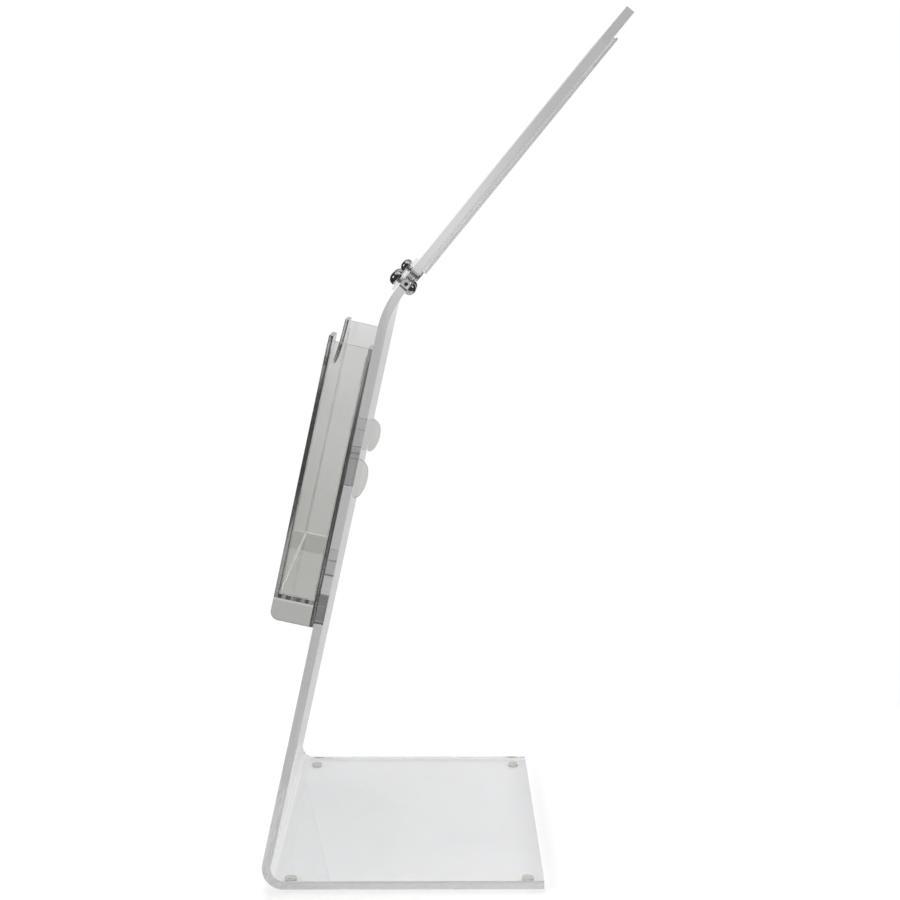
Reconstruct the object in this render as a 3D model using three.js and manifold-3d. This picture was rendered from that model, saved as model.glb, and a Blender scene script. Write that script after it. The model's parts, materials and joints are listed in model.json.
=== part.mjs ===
// Clear acrylic table stand with a tilting board and a lift-off literature pocket.
// Millimetres, +Z up. The user sits on the -X side; the board leans back towards +X.
// One bent sheet makes the base and the stem. A full-width hinge rod joins the board to it.

import * as THREE from 'three';
import { mergeVertices } from 'three/addons/utils/BufferGeometryUtils.js';
import Module from 'manifold-3d';

const wasm = await Module();
wasm.setup();

// ---- driving dimensions -------------------------------------------------------------------

const GAP = 0.3;                 // space left between pieces that touch on the real object
const WIDTH = 254;               // base, stem and board, side edge to side edge
const SHEET = 6;                 // thickness of the bent sheet and of the board

const FOOT_RADIUS = 4;
const FOOT_HEIGHT = 2.2;
const FOOT_INSET = 12;           // foot centre to the side edge
const FOOT_X = [-105.6, 57.1];

const BASE_END_X = 67.8;         // rear edge of the base
const BASE_CORNER_X = -124;      // where the mid-lines of base and stem would meet
const BASE_BEND_RADIUS = 12;     // mid-line radius
const STEM_LEAN = 12.5;          // degrees from vertical
const TOP_BEND_RADIUS = 60;      // gentle heat bend under the hinge
const BOARD_LEAN = 39.5;         // degrees from vertical at rest

const PIVOT = { x: -24.6, z: 412.1 };
const END_GAP = 2.9;             // pivot to the end faces of stem and board
const BOARD_LENGTH = 220;

const KNUCKLE_RADIUS = 2.6;
const PIN_RADIUS = 1.25;
const BORE_RADIUS = 1.4;
const KNUCKLE_WIDTH = 12;
const KNUCKLE_COUNT = 5;
const LEAF_THICKNESS = 2;
const LEAF_LENGTH = 13.2;        // pivot to the free edge of a leaf
const LEAF_CLEAR = 3.2;          // pivot to a leaf's edge beside the other leaf's knuckle
const WEB = [0.9, 2.5];          // web between knuckle and leaf, distances from the pivot
const PIN_LENGTH = 251;

const SCREW_OFFSET = 5.2;        // pivot to the screw line, along the sheet
const STEM_SCREW_Y = 24;
const BOARD_SCREW_Y = 12;
const SHANK_RADIUS = 1.5;
const HOLE_RADIUS = 1.9;
const STEM_HEAD = { radius: 5.6, rim: 1.2, height: 5.6 };
const BOARD_HEAD = { radius: 4.6, rim: 1.1, height: 4.7 };
const DOME_NUT = { radius: 4.8, rim: 1.1, height: 5 };
const SOCKET_RADIUS = 1.5;
const SOCKET_DEPTH = 2;
const NUT_BORE_DEPTH = 3.3;
const LOW_NUT_HEIGHT = 1.5;
const LOW_NUT_RADIUS = 4;
const WASHER_INSET = 0.3;        // washer edge inside the edge of the head or nut on it
const WASHER_THICKNESS = 0.5;

const COVER_THICKNESS = 1.6;
const COVER_RANGE = [13, 204];   // from the pivot, along the board
const BOND_WIDTH = 6;
const BOND_THICKNESS = 0.6;

const WALL = 3;                  // pocket panels
const POCKET_WIDTH = 220;
const POCKET_DEPTH = 30.3;
const POCKET_BOTTOM = 157.3;     // heights along the stem, from the frame's origin
const POCKET_TOP = 349.6;
const FRONT_TOP = 352.4;
const FLOOR_TOP = 175;
const CORNER = 6;                // rounded lower corner of the cheeks
const NOTCH_HALF_WIDTH = 64;
const NOTCH_DEPTH = 27;
const BACK_DIP_HALF_WIDTH = 77;
const BACK_DIP_DEPTH = 6;

const HOOK_NECK = [258.5, 276.7];
const HOOK_LIP_BOTTOM = 250.4;
const HOOK_REACH = 8.1;          // beyond the rear face of the stem
const HOOK_SLOT = [258.2, 285.6];
const TAB = [163.6, 174];
const TAB_SLOT = [161.8, 183];
const TAB_END = 0.5;             // short of the rear face of the stem
const SLOT_WIDTH = 3.8;

const COLOURS = {
  acrylic: { color: 0xdfe5e4, roughness: 0.05, metalness: 0, transparent: true, opacity: 0.45 },
  acrylicPocket: { color: 0xc9cfca, roughness: 0.05, metalness: 0, transparent: true, opacity: 0.5 },
  chrome: { color: 0xc8c9cd, roughness: 0.12, metalness: 1 },
  bumper: { color: 0xe6e1c8, roughness: 0.35, metalness: 0 },
  adhesive: { color: 0xd2d2ce, roughness: 0.5, metalness: 0 },
};

const rad = THREE.MathUtils.degToRad;

// ---- booleans and helpers -----------------------------------------------------------------

function toSolid(geometry) {
  const plain = geometry.clone();
  plain.deleteAttribute('normal');
  plain.deleteAttribute('uv');
  const merged = mergeVertices(plain, 1e-4);
  return new wasm.Manifold(new wasm.Mesh({
    numProp: 3,
    vertProperties: new Float32Array(merged.attributes.position.array),
    triVerts: new Uint32Array(merged.index.array),
  }));
}

function toGeometry(solid) {
  const mesh = solid.getMesh();
  const geometry = new THREE.BufferGeometry();
  geometry.setAttribute('position', new THREE.BufferAttribute(mesh.vertProperties, 3));
  geometry.setIndex(new THREE.BufferAttribute(mesh.triVerts, 1));
  geometry.computeVertexNormals();
  return geometry;
}

function cut(body, tools) {
  let solid = toSolid(body);
  for (const tool of tools) {
    solid = solid.subtract(toSolid(tool));
  }
  return toGeometry(solid);
}

function join(first, others) {
  let solid = toSolid(first);
  for (const other of others) {
    solid = solid.add(toSolid(other));
  }
  return toGeometry(solid);
}

function named(name, geometry, colour) {
  const mesh = new THREE.Mesh(geometry, new THREE.MeshStandardMaterial(COLOURS[colour]));
  mesh.name = name;
  return mesh;
}

// A shape drawn in (x, z), pushed along Y between two values.
function slab(shape, yLow, yHigh) {
  const geometry = new THREE.ExtrudeGeometry(shape, {
    depth: yHigh - yLow, bevelEnabled: false, curveSegments: 8,
  });
  geometry.rotateX(Math.PI / 2);
  geometry.translate(0, yHigh, 0);
  return geometry;
}

// A shape drawn in (y, z), pushed along X between two values.
function wall(shape, xLow, xHigh) {
  const geometry = new THREE.ExtrudeGeometry(shape, {
    depth: xHigh - xLow, bevelEnabled: false, curveSegments: 12,
  });
  geometry.rotateX(Math.PI / 2);
  geometry.rotateZ(Math.PI / 2);
  geometry.translate(xLow, 0, 0);
  return geometry;
}

function block(xRange, yRange, zRange) {
  const size = [xRange, yRange, zRange].map((range) => range[1] - range[0]);
  const middle = [xRange, yRange, zRange].map((range) => (range[0] + range[1]) / 2);
  const geometry = new THREE.BoxGeometry(...size);
  geometry.translate(...middle);
  return geometry;
}

// A cylinder along Y, centred on the X-Z origin.
function rodY(radius, yLow, yHigh, sides = 24) {
  const geometry = new THREE.CylinderGeometry(radius, radius, yHigh - yLow, sides);
  geometry.translate(0, (yLow + yHigh) / 2, 0);
  return geometry;
}

// A turned piece whose axis lies along X: direction -1 points at the user, +1 at the rear.
function turned(profile, direction, position) {
  const geometry = new THREE.LatheGeometry(profile.map(([r, h]) => new THREE.Vector2(r, h)), 28);
  geometry.rotateZ(-direction * Math.PI / 2);
  geometry.translate(...position);
  return geometry;
}

function holeX(y, z) {
  const geometry = new THREE.CylinderGeometry(HOLE_RADIUS, HOLE_RADIUS, 40, 20);
  geometry.rotateZ(Math.PI / 2);
  geometry.translate(0, y, z);
  return geometry;
}

// ---- frames -------------------------------------------------------------------------------
// In the stem frame x runs through the stem towards the rear and z runs up the stem.
// In the board frame the origin is the hinge axis, x runs to the rear, z runs up the board.

const stemAxis = new THREE.Vector2(Math.sin(rad(STEM_LEAN)), Math.cos(rad(STEM_LEAN)));
const boardAxis = new THREE.Vector2(Math.sin(rad(BOARD_LEAN)), Math.cos(rad(BOARD_LEAN)));
const baseMidZ = FOOT_HEIGHT + GAP + SHEET / 2;
const baseCorner = new THREE.Vector2(BASE_CORNER_X, baseMidZ);
const stemMidX = baseCorner.x * stemAxis.y - baseCorner.y * stemAxis.x;
const stemFront = stemMidX - SHEET / 2;
const stemRear = stemMidX + SHEET / 2;

function stemFrame() {
  const frame = new THREE.Group();
  frame.rotation.y = rad(STEM_LEAN);
  return frame;
}

function boardFrame() {
  const frame = new THREE.Group();
  frame.position.set(PIVOT.x, 0, PIVOT.z);
  frame.rotation.y = rad(BOARD_LEAN);
  return frame;
}

function toWorldFromStem(geometry) {
  return geometry.rotateY(rad(STEM_LEAN));
}

function toWorldFromBoard(geometry) {
  return geometry.rotateY(rad(BOARD_LEAN)).translate(PIVOT.x, 0, PIVOT.z);
}

// ---- the bent stand sheet -----------------------------------------------------------------

// Corner where the stem's mid-line meets the board's mid-line.
function topCorner() {
  const pivot = new THREE.Vector2(PIVOT.x, PIVOT.z);
  const across = stemAxis.x * boardAxis.y - stemAxis.y * boardAxis.x;
  const offset = pivot.clone().sub(baseCorner);
  const along = (offset.x * boardAxis.y - offset.y * boardAxis.x) / across;
  return baseCorner.clone().addScaledVector(stemAxis, along);
}

// One side of a bent sheet: its mid-line, with each inner corner rounded, moved sideways.
function sheetSide(corners, radii, steps, offset) {
  const side = [];
  const normalOf = (a, b) => {
    const d = b.clone().sub(a).normalize();
    return new THREE.Vector2(-d.y, d.x);
  };
  const last = corners.length - 1;
  side.push(corners[0].clone().addScaledVector(normalOf(corners[0], corners[1]), offset));
  for (let i = 1; i < last; i += 1) {
    const before = normalOf(corners[i - 1], corners[i]);
    const after = normalOf(corners[i], corners[i + 1]);
    const turn = Math.atan2(before.x * after.y - before.y * after.x, before.dot(after));
    const radius = radii[i - 1];
    const tangent = radius * Math.tan(Math.abs(turn) / 2);
    const into = corners[i].clone().sub(corners[i - 1]).normalize();
    const start = corners[i].clone().addScaledVector(into, -tangent);
    const centre = start.clone().addScaledVector(before, radius * Math.sign(turn));
    const reach = radius * Math.sign(turn) - offset;
    for (let k = 0; k <= steps[i - 1]; k += 1) {
      const angle = (turn * k) / steps[i - 1];
      const spoke = before.clone().rotateAround(new THREE.Vector2(), angle);
      side.push(centre.clone().addScaledVector(spoke, -reach));
    }
  }
  side.push(corners[last].clone().addScaledVector(normalOf(corners[last - 1], corners[last]), offset));
  return side;
}

function standSheet() {
  const pivot = new THREE.Vector2(PIVOT.x, PIVOT.z);
  const corners = [
    new THREE.Vector2(BASE_END_X, baseMidZ),
    baseCorner,
    topCorner(),
    pivot.clone().addScaledVector(boardAxis, -END_GAP),
  ];
  const radii = [BASE_BEND_RADIUS, TOP_BEND_RADIUS];
  const steps = [12, 6];
  const outside = sheetSide(corners, radii, steps, SHEET / 2);
  const inside = sheetSide(corners, radii, steps, -SHEET / 2);
  const shape = new THREE.Shape([...outside, ...inside.reverse()]);
  const tools = [];
  for (const side of [-1, 1]) {
    const y = side * (POCKET_WIDTH - WALL) / 2;
    const slotY = [y - SLOT_WIDTH / 2, y + SLOT_WIDTH / 2];
    const through = [stemFront - 2, stemRear + 2];
    tools.push(toWorldFromStem(block(through, slotY, HOOK_SLOT)));
    tools.push(toWorldFromStem(block(through, slotY, TAB_SLOT)));
    tools.push(toWorldFromBoard(holeX(side * STEM_SCREW_Y, -SCREW_OFFSET)));
  }
  return named('stand_sheet', cut(slab(shape, -WIDTH / 2, WIDTH / 2), tools), 'acrylic');
}

function foot(name, x, y) {
  const profile = [
    [0, 0], [FOOT_RADIUS - 0.9, 0], [FOOT_RADIUS - 0.25, 0.45], [FOOT_RADIUS, 1.2],
    [FOOT_RADIUS, FOOT_HEIGHT], [0, FOOT_HEIGHT],
  ];
  const points = profile.map(([r, h]) => new THREE.Vector2(r, h));
  const geometry = new THREE.LatheGeometry(points, 24);
  geometry.rotateX(Math.PI / 2);
  geometry.translate(x, y, 0);
  return named(name, geometry, 'bumper');
}

function feet() {
  const frame = new THREE.Group();
  const y = WIDTH / 2 - FOOT_INSET;
  frame.add(
    foot('foot_front_right', FOOT_X[0], -y),
    foot('foot_front_left', FOOT_X[0], y),
    foot('foot_rear_right', FOOT_X[1], -y),
    foot('foot_rear_left', FOOT_X[1], y),
  );
  return frame;
}

// ---- hinge --------------------------------------------------------------------------------

// A leaf on the user side of the sheet with its knuckles: side -1 is the stem's, +1 the board's.
function hingeLeaf(name, side) {
  const half = (KNUCKLE_WIDTH * KNUCKLE_COUNT) / 2;
  const xFar = -(SHEET / 2 + GAP + LEAF_THICKNESS);
  const xNear = -(SHEET / 2 + GAP);
  const along = (a, b) => [Math.min(side * a, side * b), Math.max(side * a, side * b)];
  const plate = block([xFar, xNear], [-half, half], along(LEAF_CLEAR, LEAF_LENGTH));
  const knuckles = [];
  const bores = [];
  for (let i = 0; i < KNUCKLE_COUNT; i += 1) {
    const belongs = i % 2 === 0 ? -1 : 1;
    if (belongs !== side) {
      continue;
    }
    const outer = i === 0 || i === KNUCKLE_COUNT - 1;
    const low = -half + i * KNUCKLE_WIDTH + (i === 0 ? 0 : GAP / 2);
    const high = -half + (i + 1) * KNUCKLE_WIDTH - (outer && i > 0 ? 0 : GAP / 2);
    knuckles.push(rodY(KNUCKLE_RADIUS, low, high));
    knuckles.push(block([xFar, -1], [low, high], along(WEB[0], WEB[1])));
    knuckles.push(block([xFar, xNear], [low, high], along(WEB[0], LEAF_CLEAR + 1)));
    bores.push(rodY(BORE_RADIUS, low - 1, high + 1));
  }
  const screwY = side < 0 ? STEM_SCREW_Y : BOARD_SCREW_Y;
  const holes = [-1, 1].map((sign) => holeX(sign * screwY, side * SCREW_OFFSET));
  const body = cut(join(plate, knuckles), [...bores, ...holes]);
  return named(name, body, 'acrylic');
}

// Clear filler bar on the rod: flat against the stem's end, rounded towards the board.
function hingeSpacer(name, side) {
  const shape = new THREE.Shape();
  const flat = -(END_GAP - GAP);
  const halfHeight = SHEET / 2 - 0.1;
  shape.moveTo(-halfHeight, flat);
  shape.lineTo(halfHeight, flat);
  shape.lineTo(halfHeight, 0);
  shape.absellipse(0, 0, halfHeight, KNUCKLE_RADIUS - 0.1, 0, Math.PI, false, 0);
  shape.lineTo(-halfHeight, flat);
  const inner = (KNUCKLE_WIDTH * KNUCKLE_COUNT) / 2 + GAP;
  const outer = WIDTH / 2 - GAP;
  const range = side < 0 ? [-outer, -inner] : [inner, outer];
  const body = cut(slab(shape, ...range), [rodY(BORE_RADIUS, range[0] - 1, range[1] + 1)]);
  return named(name, body, 'acrylic');
}

function hingePin() {
  return named('hinge_pin', rodY(PIN_RADIUS, -PIN_LENGTH / 2, PIN_LENGTH / 2, 20), 'chrome');
}

// ---- fasteners ----------------------------------------------------------------------------

function domeArc({ radius, rim, height }) {
  const points = [];
  for (let k = 0; k <= 6; k += 1) {
    const angle = (Math.PI / 2) * (k / 6);
    points.push([radius * Math.cos(angle), rim + (height - rim) * Math.sin(angle)]);
  }
  points[6][0] = 0;
  return points;
}

const frontWasherX = -(SHEET / 2 + LEAF_THICKNESS + 2 * GAP - 0.05);
const headX = frontWasherX - WASHER_THICKNESS - GAP + 0.05;
const rearWasherX = SHEET / 2 + GAP;
const nutX = rearWasherX + WASHER_THICKNESS + GAP;

function screw(name, head, y, z, tipX) {
  const shank = tipX - headX;
  const profile = [
    [0, -shank], [SHANK_RADIUS - 0.3, -shank], [SHANK_RADIUS, 0.3 - shank], [SHANK_RADIUS, 0],
    [head.radius, 0], ...domeArc(head),
  ];
  const socket = new THREE.CylinderGeometry(SOCKET_RADIUS, SOCKET_RADIUS, 2 * SOCKET_DEPTH, 6);
  socket.rotateZ(Math.PI / 2);
  socket.translate(headX - head.height, y, z);
  return named(name, cut(turned(profile, -1, [headX, y, z]), [socket]), 'chrome');
}

function domeNut(name, y, z) {
  const bore = SHANK_RADIUS + GAP;
  const profile = [
    [0, NUT_BORE_DEPTH], [bore, NUT_BORE_DEPTH], [bore, 0], [DOME_NUT.radius, 0],
    ...domeArc(DOME_NUT),
  ];
  return named(name, turned(profile, 1, [nutX, y, z]), 'chrome');
}

function lowNut(name, y, z) {
  const bore = SHANK_RADIUS + GAP;
  const profile = [
    [bore, 0], [LOW_NUT_RADIUS, 0], [LOW_NUT_RADIUS, LOW_NUT_HEIGHT - 0.4],
    [LOW_NUT_RADIUS - 0.4, LOW_NUT_HEIGHT], [bore, LOW_NUT_HEIGHT], [bore, 0],
  ];
  return named(name, turned(profile, 1, [nutX, y, z]), 'chrome');
}

function washer(name, radius, direction, y, z) {
  const bore = SHANK_RADIUS + GAP;
  const profile = [
    [bore, 0], [radius, 0], [radius, WASHER_THICKNESS], [bore, WASHER_THICKNESS], [bore, 0],
  ];
  const x = direction < 0 ? frontWasherX : rearWasherX;
  return named(name, turned(profile, direction, [x, y, z]), 'chrome');
}

// Two fastener sets, left and right of the middle.
function fasteners(prefix, screwY, z, domed) {
  const set = [];
  const head = domed ? STEM_HEAD : BOARD_HEAD;
  const nut = domed ? domeNut : lowNut;
  const nutRadius = domed ? DOME_NUT.radius : LOW_NUT_RADIUS;
  const tipX = domed ? nutX + NUT_BORE_DEPTH - 0.4 : nutX + LOW_NUT_HEIGHT - 0.1;
  for (const [hand, sign] of [['right', -1], ['left', 1]]) {
    const y = sign * screwY;
    set.push(screw(`${prefix}_screw_${hand}`, head, y, z, tipX));
    set.push(washer(`${prefix}_front_washer_${hand}`, head.radius - WASHER_INSET, -1, y, z));
    set.push(washer(`${prefix}_rear_washer_${hand}`, nutRadius - WASHER_INSET, 1, y, z));
    set.push(nut(`${prefix}_nut_${hand}`, y, z));
  }
  return set;
}

function hingeOnStem() {
  const frame = boardFrame();
  frame.add(hingeLeaf('stem_hinge_leaf', -1), hingePin());
  frame.add(hingeSpacer('hinge_spacer_right', -1), hingeSpacer('hinge_spacer_left', 1));
  frame.add(...fasteners('stem', STEM_SCREW_Y, -SCREW_OFFSET, true));
  return frame;
}

// ---- board --------------------------------------------------------------------------------

function boardPanel() {
  const top = END_GAP + BOARD_LENGTH;
  const sheet = block([-SHEET / 2, SHEET / 2], [-WIDTH / 2, WIDTH / 2], [END_GAP, top]);
  const holes = [-1, 1].map((sign) => holeX(sign * BOARD_SCREW_Y, SCREW_OFFSET));
  return named('board_panel', cut(sheet, holes), 'acrylic');
}

function coverSheet() {
  const x = SHEET / 2 + 2 * GAP + BOND_THICKNESS;
  const sheet = block([x, x + COVER_THICKNESS], [-WIDTH / 2, WIDTH / 2], COVER_RANGE);
  return named('rear_cover_sheet', sheet, 'acrylic');
}

function bondStrip(name, side) {
  const x = SHEET / 2 + GAP;
  const edges = [side * (WIDTH / 2 - 0.5), side * (WIDTH / 2 - 0.5 - BOND_WIDTH)];
  const y = [Math.min(...edges), Math.max(...edges)];
  const z = [COVER_RANGE[0] + 1, COVER_RANGE[1] - 1];
  return named(name, block([x, x + BOND_THICKNESS], y, z), 'adhesive');
}

function board() {
  const frame = boardFrame();
  frame.add(boardPanel(), coverSheet());
  frame.add(bondStrip('cover_bond_strip_right', -1), bondStrip('cover_bond_strip_left', 1));
  frame.add(hingeLeaf('board_hinge_leaf', 1));
  frame.add(...fasteners('board', BOARD_SCREW_Y, SCREW_OFFSET, false));
  return frame;
}

// ---- pocket -------------------------------------------------------------------------------

const pocketRear = stemFront - GAP - 0.1;
const pocketFront = pocketRear - POCKET_DEPTH;
const innerHalf = POCKET_WIDTH / 2 - WALL - GAP;

// A flat side panel with its hook above and its locating tab below, all in one outline.
function cheek(name, side) {
  const lipLeft = stemRear + GAP;
  const reach = stemRear + HOOK_REACH;
  const tabTip = stemRear - TAB_END;
  const shape = new THREE.Shape();
  shape.moveTo(pocketFront + CORNER, POCKET_BOTTOM);
  shape.lineTo(pocketRear, POCKET_BOTTOM);
  shape.lineTo(pocketRear, TAB[0]);
  shape.lineTo(tabTip, TAB[0]);
  shape.lineTo(tabTip, TAB[1]);
  shape.lineTo(pocketRear, TAB[1]);
  shape.lineTo(pocketRear, HOOK_NECK[0]);
  shape.lineTo(lipLeft, HOOK_NECK[0]);
  shape.lineTo(lipLeft, HOOK_LIP_BOTTOM + 1.2);
  shape.quadraticCurveTo(lipLeft, HOOK_LIP_BOTTOM, lipLeft + 2, HOOK_LIP_BOTTOM);
  shape.bezierCurveTo(
    reach - 2.2, HOOK_LIP_BOTTOM, reach, HOOK_NECK[0], reach, HOOK_NECK[0] + 5,
  );
  shape.bezierCurveTo(
    reach, HOOK_NECK[1] - 5, reach - 2.2, HOOK_NECK[1] - 1.6, stemRear, HOOK_NECK[1],
  );
  shape.lineTo(pocketRear, HOOK_NECK[1]);
  shape.lineTo(pocketRear, POCKET_TOP);
  shape.lineTo(pocketFront + 3, POCKET_TOP);
  shape.quadraticCurveTo(pocketFront, POCKET_TOP, pocketFront, POCKET_TOP - 3);
  shape.lineTo(pocketFront, POCKET_BOTTOM + CORNER);
  shape.absarc(pocketFront + CORNER, POCKET_BOTTOM + CORNER, CORNER, Math.PI, 1.5 * Math.PI, false);
  const outer = POCKET_WIDTH / 2;
  const range = side < 0 ? [-outer, WALL - outer] : [outer - WALL, outer];
  return named(name, slab(shape, ...range), 'acrylicPocket');
}

function pocketBack() {
  const shape = new THREE.Shape();
  shape.moveTo(-innerHalf, POCKET_BOTTOM);
  shape.lineTo(innerHalf, POCKET_BOTTOM);
  shape.lineTo(innerHalf, POCKET_TOP);
  shape.lineTo(BACK_DIP_HALF_WIDTH, POCKET_TOP);
  shape.bezierCurveTo(
    BACK_DIP_HALF_WIDTH / 2, POCKET_TOP, BACK_DIP_HALF_WIDTH / 2, POCKET_TOP - BACK_DIP_DEPTH,
    0, POCKET_TOP - BACK_DIP_DEPTH,
  );
  shape.bezierCurveTo(
    -BACK_DIP_HALF_WIDTH / 2, POCKET_TOP - BACK_DIP_DEPTH, -BACK_DIP_HALF_WIDTH / 2, POCKET_TOP,
    -BACK_DIP_HALF_WIDTH, POCKET_TOP,
  );
  shape.lineTo(-innerHalf, POCKET_TOP);
  return named('pocket_back', wall(shape, pocketRear - WALL, pocketRear), 'acrylicPocket');
}

function pocketFloor() {
  const x = [pocketFront, pocketRear - WALL - GAP];
  const floor = block(x, [-innerHalf, innerHalf], [FLOOR_TOP - WALL, FLOOR_TOP]);
  return named('pocket_floor', floor, 'acrylicPocket');
}

function pocketFrontWall() {
  const round = 8;
  const notchBottom = FRONT_TOP - NOTCH_DEPTH;
  const shape = new THREE.Shape();
  shape.moveTo(-innerHalf, FLOOR_TOP + GAP);
  shape.lineTo(innerHalf, FLOOR_TOP + GAP);
  shape.lineTo(innerHalf, FRONT_TOP - 2);
  shape.quadraticCurveTo(innerHalf, FRONT_TOP, innerHalf - 2, FRONT_TOP);
  shape.lineTo(NOTCH_HALF_WIDTH + round, FRONT_TOP);
  shape.bezierCurveTo(NOTCH_HALF_WIDTH, FRONT_TOP, NOTCH_HALF_WIDTH, notchBottom, 0, notchBottom);
  shape.bezierCurveTo(
    -NOTCH_HALF_WIDTH, notchBottom, -NOTCH_HALF_WIDTH, FRONT_TOP,
    -NOTCH_HALF_WIDTH - round, FRONT_TOP,
  );
  shape.lineTo(2 - innerHalf, FRONT_TOP);
  shape.quadraticCurveTo(-innerHalf, FRONT_TOP, -innerHalf, FRONT_TOP - 2);
  return named('pocket_front', wall(shape, pocketFront, pocketFront + WALL), 'acrylicPocket');
}

function pocket() {
  const frame = stemFrame();
  frame.add(cheek('pocket_cheek_right', -1), cheek('pocket_cheek_left', 1));
  frame.add(pocketBack(), pocketFrontWall(), pocketFloor());
  return frame;
}

// ---- the whole object, stood on its feet with the origin under the middle of its box ------

const object = new THREE.Group();
object.add(standSheet(), feet(), hingeOnStem(), board(), pocket());
object.updateMatrixWorld(true);
const box = new THREE.Box3().setFromObject(object, true);
object.position.set(-(box.min.x + box.max.x) / 2, -(box.min.y + box.max.y) / 2, -box.min.z);

export default object;
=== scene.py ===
"""Clear acrylic table stand with a tilting board and a hook-on pocket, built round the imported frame.

Every piece is drawn in the stem's or the board's own axes, in metres, and then set in place.
x runs through the sheet towards the rear, y to the user's left, z up the sheet. The bent sheet
itself is drawn upright, from the stem's origin on the table.
"""
import json
import math

import bmesh
import bpy
from mathutils import Matrix, Vector


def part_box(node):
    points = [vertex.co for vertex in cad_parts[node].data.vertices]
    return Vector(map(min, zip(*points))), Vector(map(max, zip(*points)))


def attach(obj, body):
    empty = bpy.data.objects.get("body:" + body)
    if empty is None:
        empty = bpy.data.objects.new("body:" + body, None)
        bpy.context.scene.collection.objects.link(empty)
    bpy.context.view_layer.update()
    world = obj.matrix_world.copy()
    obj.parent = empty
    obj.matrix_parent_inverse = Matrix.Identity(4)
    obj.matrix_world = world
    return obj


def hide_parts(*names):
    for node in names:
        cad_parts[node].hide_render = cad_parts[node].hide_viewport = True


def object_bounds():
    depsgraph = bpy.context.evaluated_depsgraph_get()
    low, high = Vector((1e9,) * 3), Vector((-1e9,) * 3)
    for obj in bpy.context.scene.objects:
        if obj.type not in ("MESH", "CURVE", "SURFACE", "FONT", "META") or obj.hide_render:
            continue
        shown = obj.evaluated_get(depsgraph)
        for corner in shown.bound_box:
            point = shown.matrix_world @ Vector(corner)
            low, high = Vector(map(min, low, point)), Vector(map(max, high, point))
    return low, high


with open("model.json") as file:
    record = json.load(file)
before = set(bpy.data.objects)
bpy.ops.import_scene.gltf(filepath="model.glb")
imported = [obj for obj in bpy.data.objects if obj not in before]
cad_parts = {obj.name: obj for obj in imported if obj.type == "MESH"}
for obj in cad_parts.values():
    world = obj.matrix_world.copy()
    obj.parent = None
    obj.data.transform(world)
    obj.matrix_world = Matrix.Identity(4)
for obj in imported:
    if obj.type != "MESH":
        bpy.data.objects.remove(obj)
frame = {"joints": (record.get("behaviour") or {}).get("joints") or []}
cad_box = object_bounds()

# ---- sizes, in metres ----------------------------------------------------------------------

MM = 0.001
GAP = 0.3 * MM
SEAM = 0.06 * MM                     # air left in a bonded joint
WIDTH = 254 * MM
SHEET = 6 * MM
HALF_SHEET = SHEET / 2
FOOT_HEIGHT = 2.2 * MM
FOOT_RADIUS = 4 * MM

joints = {joint["name"]: joint for joint in frame["joints"]}
PIVOT = Vector(joints["board_tilt"]["pos_m"])
LIFT_AXIS = Vector(joints["pocket_lift"]["axis"])
STEM_LEAN = math.atan2(LIFT_AXIS.x, LIFT_AXIS.z)
BOARD_LEAN = math.radians(39.5)      # from vertical, at rest

PIVOT_X = -24.6 * MM                 # the hinge, from the stem's origin on the table
PIVOT_Z = 412.1 * MM
STEM_ORIGIN = Vector((PIVOT.x - PIVOT_X, 0, PIVOT.z - PIVOT_Z))
BASE_CORNER_X = -124 * MM
BASE_BEND_RADIUS = 12 * MM
TOP_BEND_RADIUS = 60 * MM
END_GAP = 2.9 * MM
BOARD_LENGTH = 220 * MM
HANDS = (("right", -1), ("left", 1))

KNUCKLE_RADIUS = 2.6 * MM
PIN_RADIUS = 1.25 * MM
BORE_RADIUS = 1.4 * MM
KNUCKLE_WIDTH = 12 * MM
KNUCKLE_COUNT = 5
LEAF_THICKNESS = 2 * MM
LEAF_LENGTH = 13.2 * MM
LEAF_CLEAR = 3.2 * MM
WEB = (0.9 * MM, 2.5 * MM)
SCREW_OFFSET = 5.2 * MM
STEM_SCREW_Y = 24 * MM
BOARD_SCREW_Y = 12 * MM
SHANK_RADIUS = 1.5 * MM
HOLE_RADIUS = 1.9 * MM
STEM_HEAD = (5.6 * MM, 1.2 * MM, 5.6 * MM)       # radius, rim, height
BOARD_HEAD = (4.6 * MM, 1.1 * MM, 4.7 * MM)
DOME_NUT = (4.8 * MM, 1.1 * MM, 5 * MM)
SOCKET_RADIUS = 1.5 * MM
SOCKET_DEPTH = 2 * MM
NUT_BORE_DEPTH = 3.3 * MM
LOW_NUT_RADIUS = 4 * MM
LOW_NUT_HEIGHT = 1.5 * MM
WASHER_INSET = 0.3 * MM
WASHER_THICKNESS = 0.5 * MM
WASHER_EDGE = 0.08 * MM
LOW_NUT_EDGE = 0.3 * MM
SNUG = 0.05 * MM                     # how far front washers and heads sit inside a full gap
FILLER_INSET = 0.1 * MM              # a filler bar is this much slimmer than the sheet

COVER_THICKNESS = 1.6 * MM
COVER_RANGE = (13 * MM, 204 * MM)
BOND_WIDTH = 6 * MM
BOND_THICKNESS = 0.6 * MM
BOND_INSET = 0.5 * MM

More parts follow.
